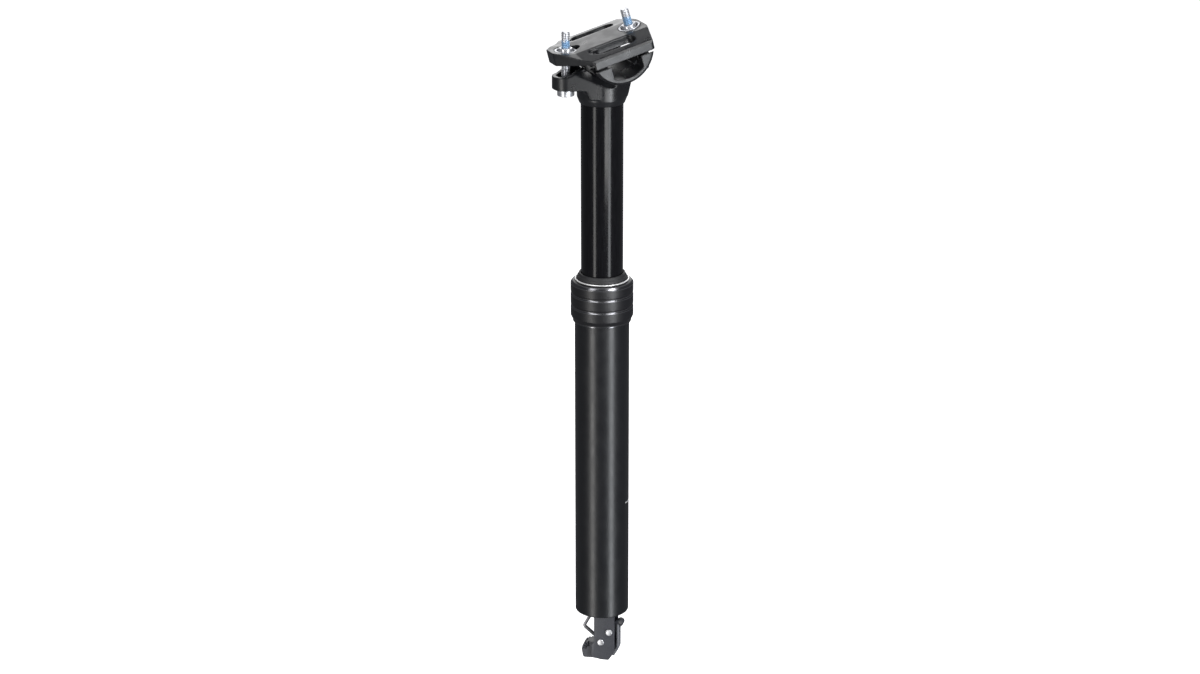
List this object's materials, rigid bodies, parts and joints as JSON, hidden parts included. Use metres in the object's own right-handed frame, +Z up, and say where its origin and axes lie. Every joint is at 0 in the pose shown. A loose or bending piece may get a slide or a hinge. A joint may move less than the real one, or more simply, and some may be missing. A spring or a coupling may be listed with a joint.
{
  "type": "dropper seatpost",
  "caption": "Telescopic bicycle seatpost with a gas spring, a sealed collar, a two-bolt saddle clamp and a cable release under the tube.",
  "frame": {"origin": "on the post's axis at the underside of the collar, where the post leaves the seat tube", "axes": "+Z up along the post to the saddle, +X to the rear of the bicycle, +Y to the rider's right"},
  "size_m": [0.0604, 0.0528, 0.398],
  "materials": {
    "satin_black": "satin black anodising",
    "gloss_black": "gloss black anodising",
    "stanchion_black": "polished black anodising",
    "forged_black": "black anodising over a blasted forging",
    "matte_black": "matte dark grey coating",
    "rubber": "matte",
    "nylon": "matte",
    "brass": "turned",
    "steel": "zinc plated or turned",
    "spring_black": "black oxide",
    "aluminium": "turned"
  },
  "bodies": {
    "outer_body": {"outer_tube": "satin_black", "seal_collar": "gloss_black", "wiper_seal": "rubber", "wiper_ring": "steel", "oil_seal": "rubber", "upper_bushing": "nylon", "top_out_bumper": "rubber", "piston_rod": "steel", "main_piston": "aluminium", "piston_nut": "steel", "base_plug": "aluminium", "rod_nut": "steel", "actuator_bracket": "matte_black", "lever_pin": "steel", "foot_pin": "steel", "cable_foot": "matte_black", "cable_guard": "matte_black", "wire_clip": "spring_black", "lever_spring": "steel"},
    "stanchion_body": {"stanchion": "stanchion_black", "head": "forged_black", "lower_bushing": "nylon", "guide_key_1": "brass", "guide_key_2": "brass", "guide_key_3": "brass", "gas_cylinder": "steel", "cylinder_top_plug": "aluminium", "rod_gland": "aluminium", "gland_seal": "rubber", "gland_clip": "steel", "front_bolt": "steel", "rear_bolt": "steel"},
    "floating_piston": {"floating_piston": "aluminium", "floating_piston_seal": "rubber"},
    "clamp": {"lower_cradle": "forged_black", "upper_plate": "forged_black", "front_washer": "steel", "rear_washer": "steel"},
    "front_nut": {"front_nut": "steel"},
    "rear_nut": {"rear_nut": "steel"},
    "lever": {"release_lever": "matte_black", "cable_barrel": "spring_black"},
    "release_pin": {"release_pin": "steel"}
  },
  "joints": [
    {"name": "post_travel", "type": "slide", "parent": "outer_body", "child": "stanchion_body", "axis": [0, 0, 1], "range_m": [-0.1, 0], "stiffness_N_per_m": 60, "springref_m": 0.4},
    {"name": "floating_piston_travel", "type": "slide", "parent": "stanchion_body", "child": "floating_piston", "axis": [0, 0, 1], "range_m": [-0.002, 0.02]},
    {"name": "clamp_tilt", "type": "hinge", "parent": "stanchion_body", "child": "clamp", "pos_m": [0.00142, 0, 0.16515], "axis": [0, -1, 0], "range_deg": [-7, 7]},
    {"name": "front_nut_travel", "type": "slide", "parent": "stanchion_body", "child": "front_nut", "axis": [0, 0, 1], "range_m": [-0.0036, 0.0036]},
    {"name": "rear_nut_travel", "type": "slide", "parent": "stanchion_body", "child": "rear_nut", "axis": [-0.2874, 0, 0.9578], "range_m": [-0.0025, 0.0025]},
    {"name": "lever_pivot", "type": "hinge", "parent": "outer_body", "child": "lever", "pos_m": [0.00469, -0.00332, -0.1961], "axis": [0.5779, 0.8161, 0], "range_deg": [0, 18]},
    {"name": "release_pin_travel", "type": "slide", "parent": "outer_body", "child": "release_pin", "axis": [0, 0, 1], "range_m": [0, 0.0018], "stiffness_N_per_m": 800, "springref_m": -0.003}
  ],
  "couplings": [
    {"joint": "front_nut_travel", "follows": "clamp_tilt", "m_per_rad": -0.0245},
    {"joint": "rear_nut_travel", "follows": "clamp_tilt", "m_per_rad": 0.0162},
    {"joint": "lever_pivot", "follows": "release_pin_travel", "rad_per_m": 174.5}
  ]
}
